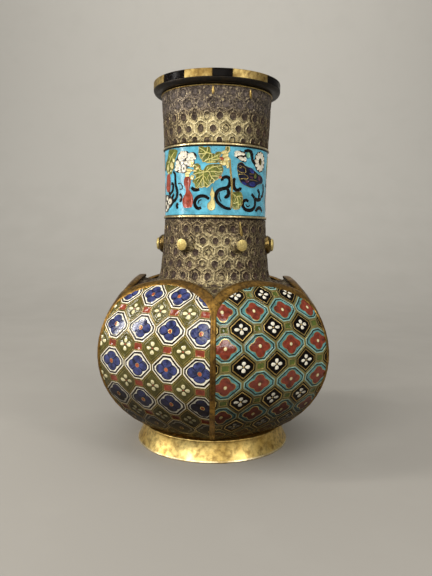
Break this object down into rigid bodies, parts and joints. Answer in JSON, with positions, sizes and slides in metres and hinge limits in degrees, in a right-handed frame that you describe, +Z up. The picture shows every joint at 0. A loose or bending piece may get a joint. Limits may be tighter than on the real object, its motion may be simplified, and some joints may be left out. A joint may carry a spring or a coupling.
{
  "type": "metal vase",
  "caption": "Six-sided bronze bottle vase with inlaid enamel panels, a tall waisted neck with an enamel band, a turned-out rim and a flared brass foot ring.",
  "frame": {"origin": "middle of the foot ring's underside, on the surface the vase stands on", "axes": "+Z up along the neck, -Y towards the front ridge between two panels, +X to the right seen from the front"},
  "size_m": [0.1572, 0.1732, 0.25],
  "materials": {
    "bronze": "aged bronze, dark brown patina in the low places, worn golden on the high ones",
    "brass": "polished brass, worn bright, with brown stains",
    "stud_brass": "pale rubbed brass face, dark patina on the flanks",
    "turquoise_enamel": "glossy fired enamel, turquoise octagons on green with black diamonds",
    "olive_enamel": "glossy fired enamel, white octagons with blue flowers on olive",
    "sky_enamel": "fired enamel, sky blue with vine, gourd and blossom ornament",
    "black_enamel": "glossy black enamel"
  },
  "bodies": {
    "root": {"bulb_casting": "bronze", "neck_tube": "bronze", "base_plate": "bronze", "neck_ring_lower": "brass", "neck_ring_upper": "brass", "rim_lip": "brass", "foot_ring": "brass", "neck_stud_1": "stud_brass", "neck_stud_2": "stud_brass", "neck_stud_3": "stud_brass", "neck_stud_4": "stud_brass", "neck_stud_5": "stud_brass", "neck_stud_6": "stud_brass", "enamel_panel_1": "turquoise_enamel", "enamel_panel_3": "turquoise_enamel", "enamel_panel_5": "turquoise_enamel", "enamel_panel_2": "olive_enamel", "enamel_panel_4": "olive_enamel", "enamel_panel_6": "olive_enamel", "neck_band_enamel": "sky_enamel", "rim_enamel_1": "black_enamel", "rim_enamel_2": "black_enamel", "rim_enamel_3": "black_enamel", "rim_enamel_4": "black_enamel", "rim_enamel_5": "black_enamel", "rim_enamel_6": "black_enamel", "rim_enamel_7": "black_enamel"}
  },
  "joints": []
}
